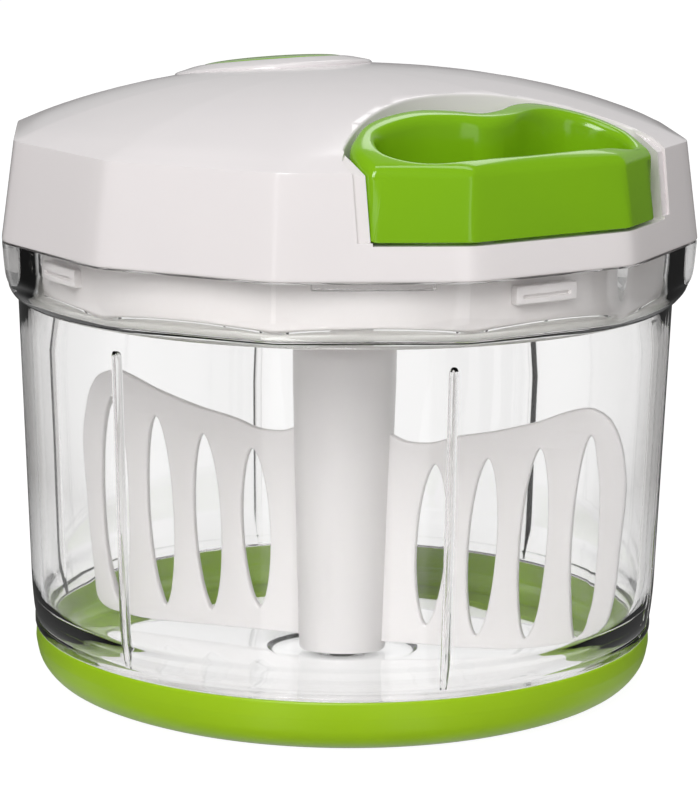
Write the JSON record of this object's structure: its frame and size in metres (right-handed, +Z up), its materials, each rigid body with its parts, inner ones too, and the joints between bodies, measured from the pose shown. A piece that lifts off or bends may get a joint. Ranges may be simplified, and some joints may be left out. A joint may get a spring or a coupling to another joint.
{
  "type": "manual pull cord food chopper",
  "caption": "Hand-pulled food chopper: clear ribbed bowl with a green foot ring, white faceted lid with a green ring handle on a recoil cord, and a white slotted mixing paddle",
  "frame": {"origin": "on the bowl's axis at the bottom of the foot ring, on the table", "axes": "+Z up, the handle pulls out along -Y, +X to the right seen from the handle's side"},
  "size_m": [0.1608, 0.1608, 0.1463],
  "materials": {
    "clear_san": "crystal clear moulded SAN, polished",
    "clear_silicone": "translucent soft silicone",
    "white_abs": "glossy moulded white ABS",
    "milky_pp": "milky translucent polypropylene, satin",
    "green_abs": "glossy moulded lime green ABS",
    "green_tpe": "satin lime green thermoplastic rubber",
    "bright_steel": "plain bright steel",
    "brass": "drawn brass",
    "natural_nylon": "natural nylon",
    "black_rubber": "black nitrile rubber",
    "braided_cord": "white braided polyester cord"
  },
  "bodies": {
    "bowl": {"bowl": "clear_san", "base_ring": "green_tpe", "pivot_pin": "bright_steel"},
    "seal": {"lid_gasket": "clear_silicone"},
    "lid": {"lid_shell": "white_abs", "lid_base": "white_abs", "hub_bush": "natural_nylon", "shaft_seal": "black_rubber", "spool_housing": "white_abs", "housing_cover": "white_abs", "spring_cover": "white_abs", "recoil_spring": "bright_steel", "cord_lead": "braided_cord", "cord_run": "braided_cord", "cord_eyelet": "brass", "lid_screw_1": "bright_steel", "lid_screw_2": "bright_steel", "lid_screw_3": "bright_steel", "lid_screw_4": "bright_steel", "housing_screw_1": "bright_steel", "housing_screw_2": "bright_steel", "housing_screw_3": "bright_steel", "housing_screw_4": "bright_steel"},
    "handle": {"pull_handle": "green_abs", "cord_knot": "braided_cord"},
    "spool": {"spool": "white_abs", "cord_winding": "braided_cord", "drive_hub": "milky_pp", "spool_washer": "bright_steel", "spool_screw": "bright_steel"},
    "paddle": {"paddle": "milky_pp", "foot_bush": "natural_nylon"},
    "filler": {"filler_cap": "green_abs", "filler_seal": "clear_silicone"}
  },
  "joints": [
    {"name": "lid_twist", "type": "hinge", "parent": "bowl", "child": "seal", "pos_m": [0, 0, 0.1], "axis": [0, 0, 1], "range_deg": [-30, 0]},
    {"name": "lid_lift", "type": "slide", "parent": "seal", "child": "lid", "axis": [0, 0, 1], "range_m": [0, 0.12]},
    {"name": "handle_pull", "type": "slide", "parent": "lid", "child": "handle", "axis": [0, -1, 0], "range_m": [0, 0.3], "stiffness_N_per_m": 20, "springref_m": -0.1, "deforming": ["cord_run", "recoil_spring"]},
    {"name": "spool_spin", "type": "hinge", "parent": "lid", "child": "spool", "pos_m": [0, 0, 0.12], "axis": [0, 0, 1], "range_deg": [0, 1030]},
    {"name": "paddle_spin", "type": "hinge", "parent": "seal", "child": "paddle", "pos_m": [0, 0, 0.04], "axis": [0, 0, 1], "range_deg": [0, 1030]},
    {"name": "filler_lift", "type": "slide", "parent": "lid", "child": "filler", "axis": [0, 0.1392, 0.9903], "range_m": [0, 0.03]}
  ],
  "couplings": [
    {"joint": "spool_spin", "follows": "handle_pull", "rad_per_m": 59.88},
    {"joint": "paddle_spin", "follows": "handle_pull", "rad_per_m": 59.88}
  ]
}
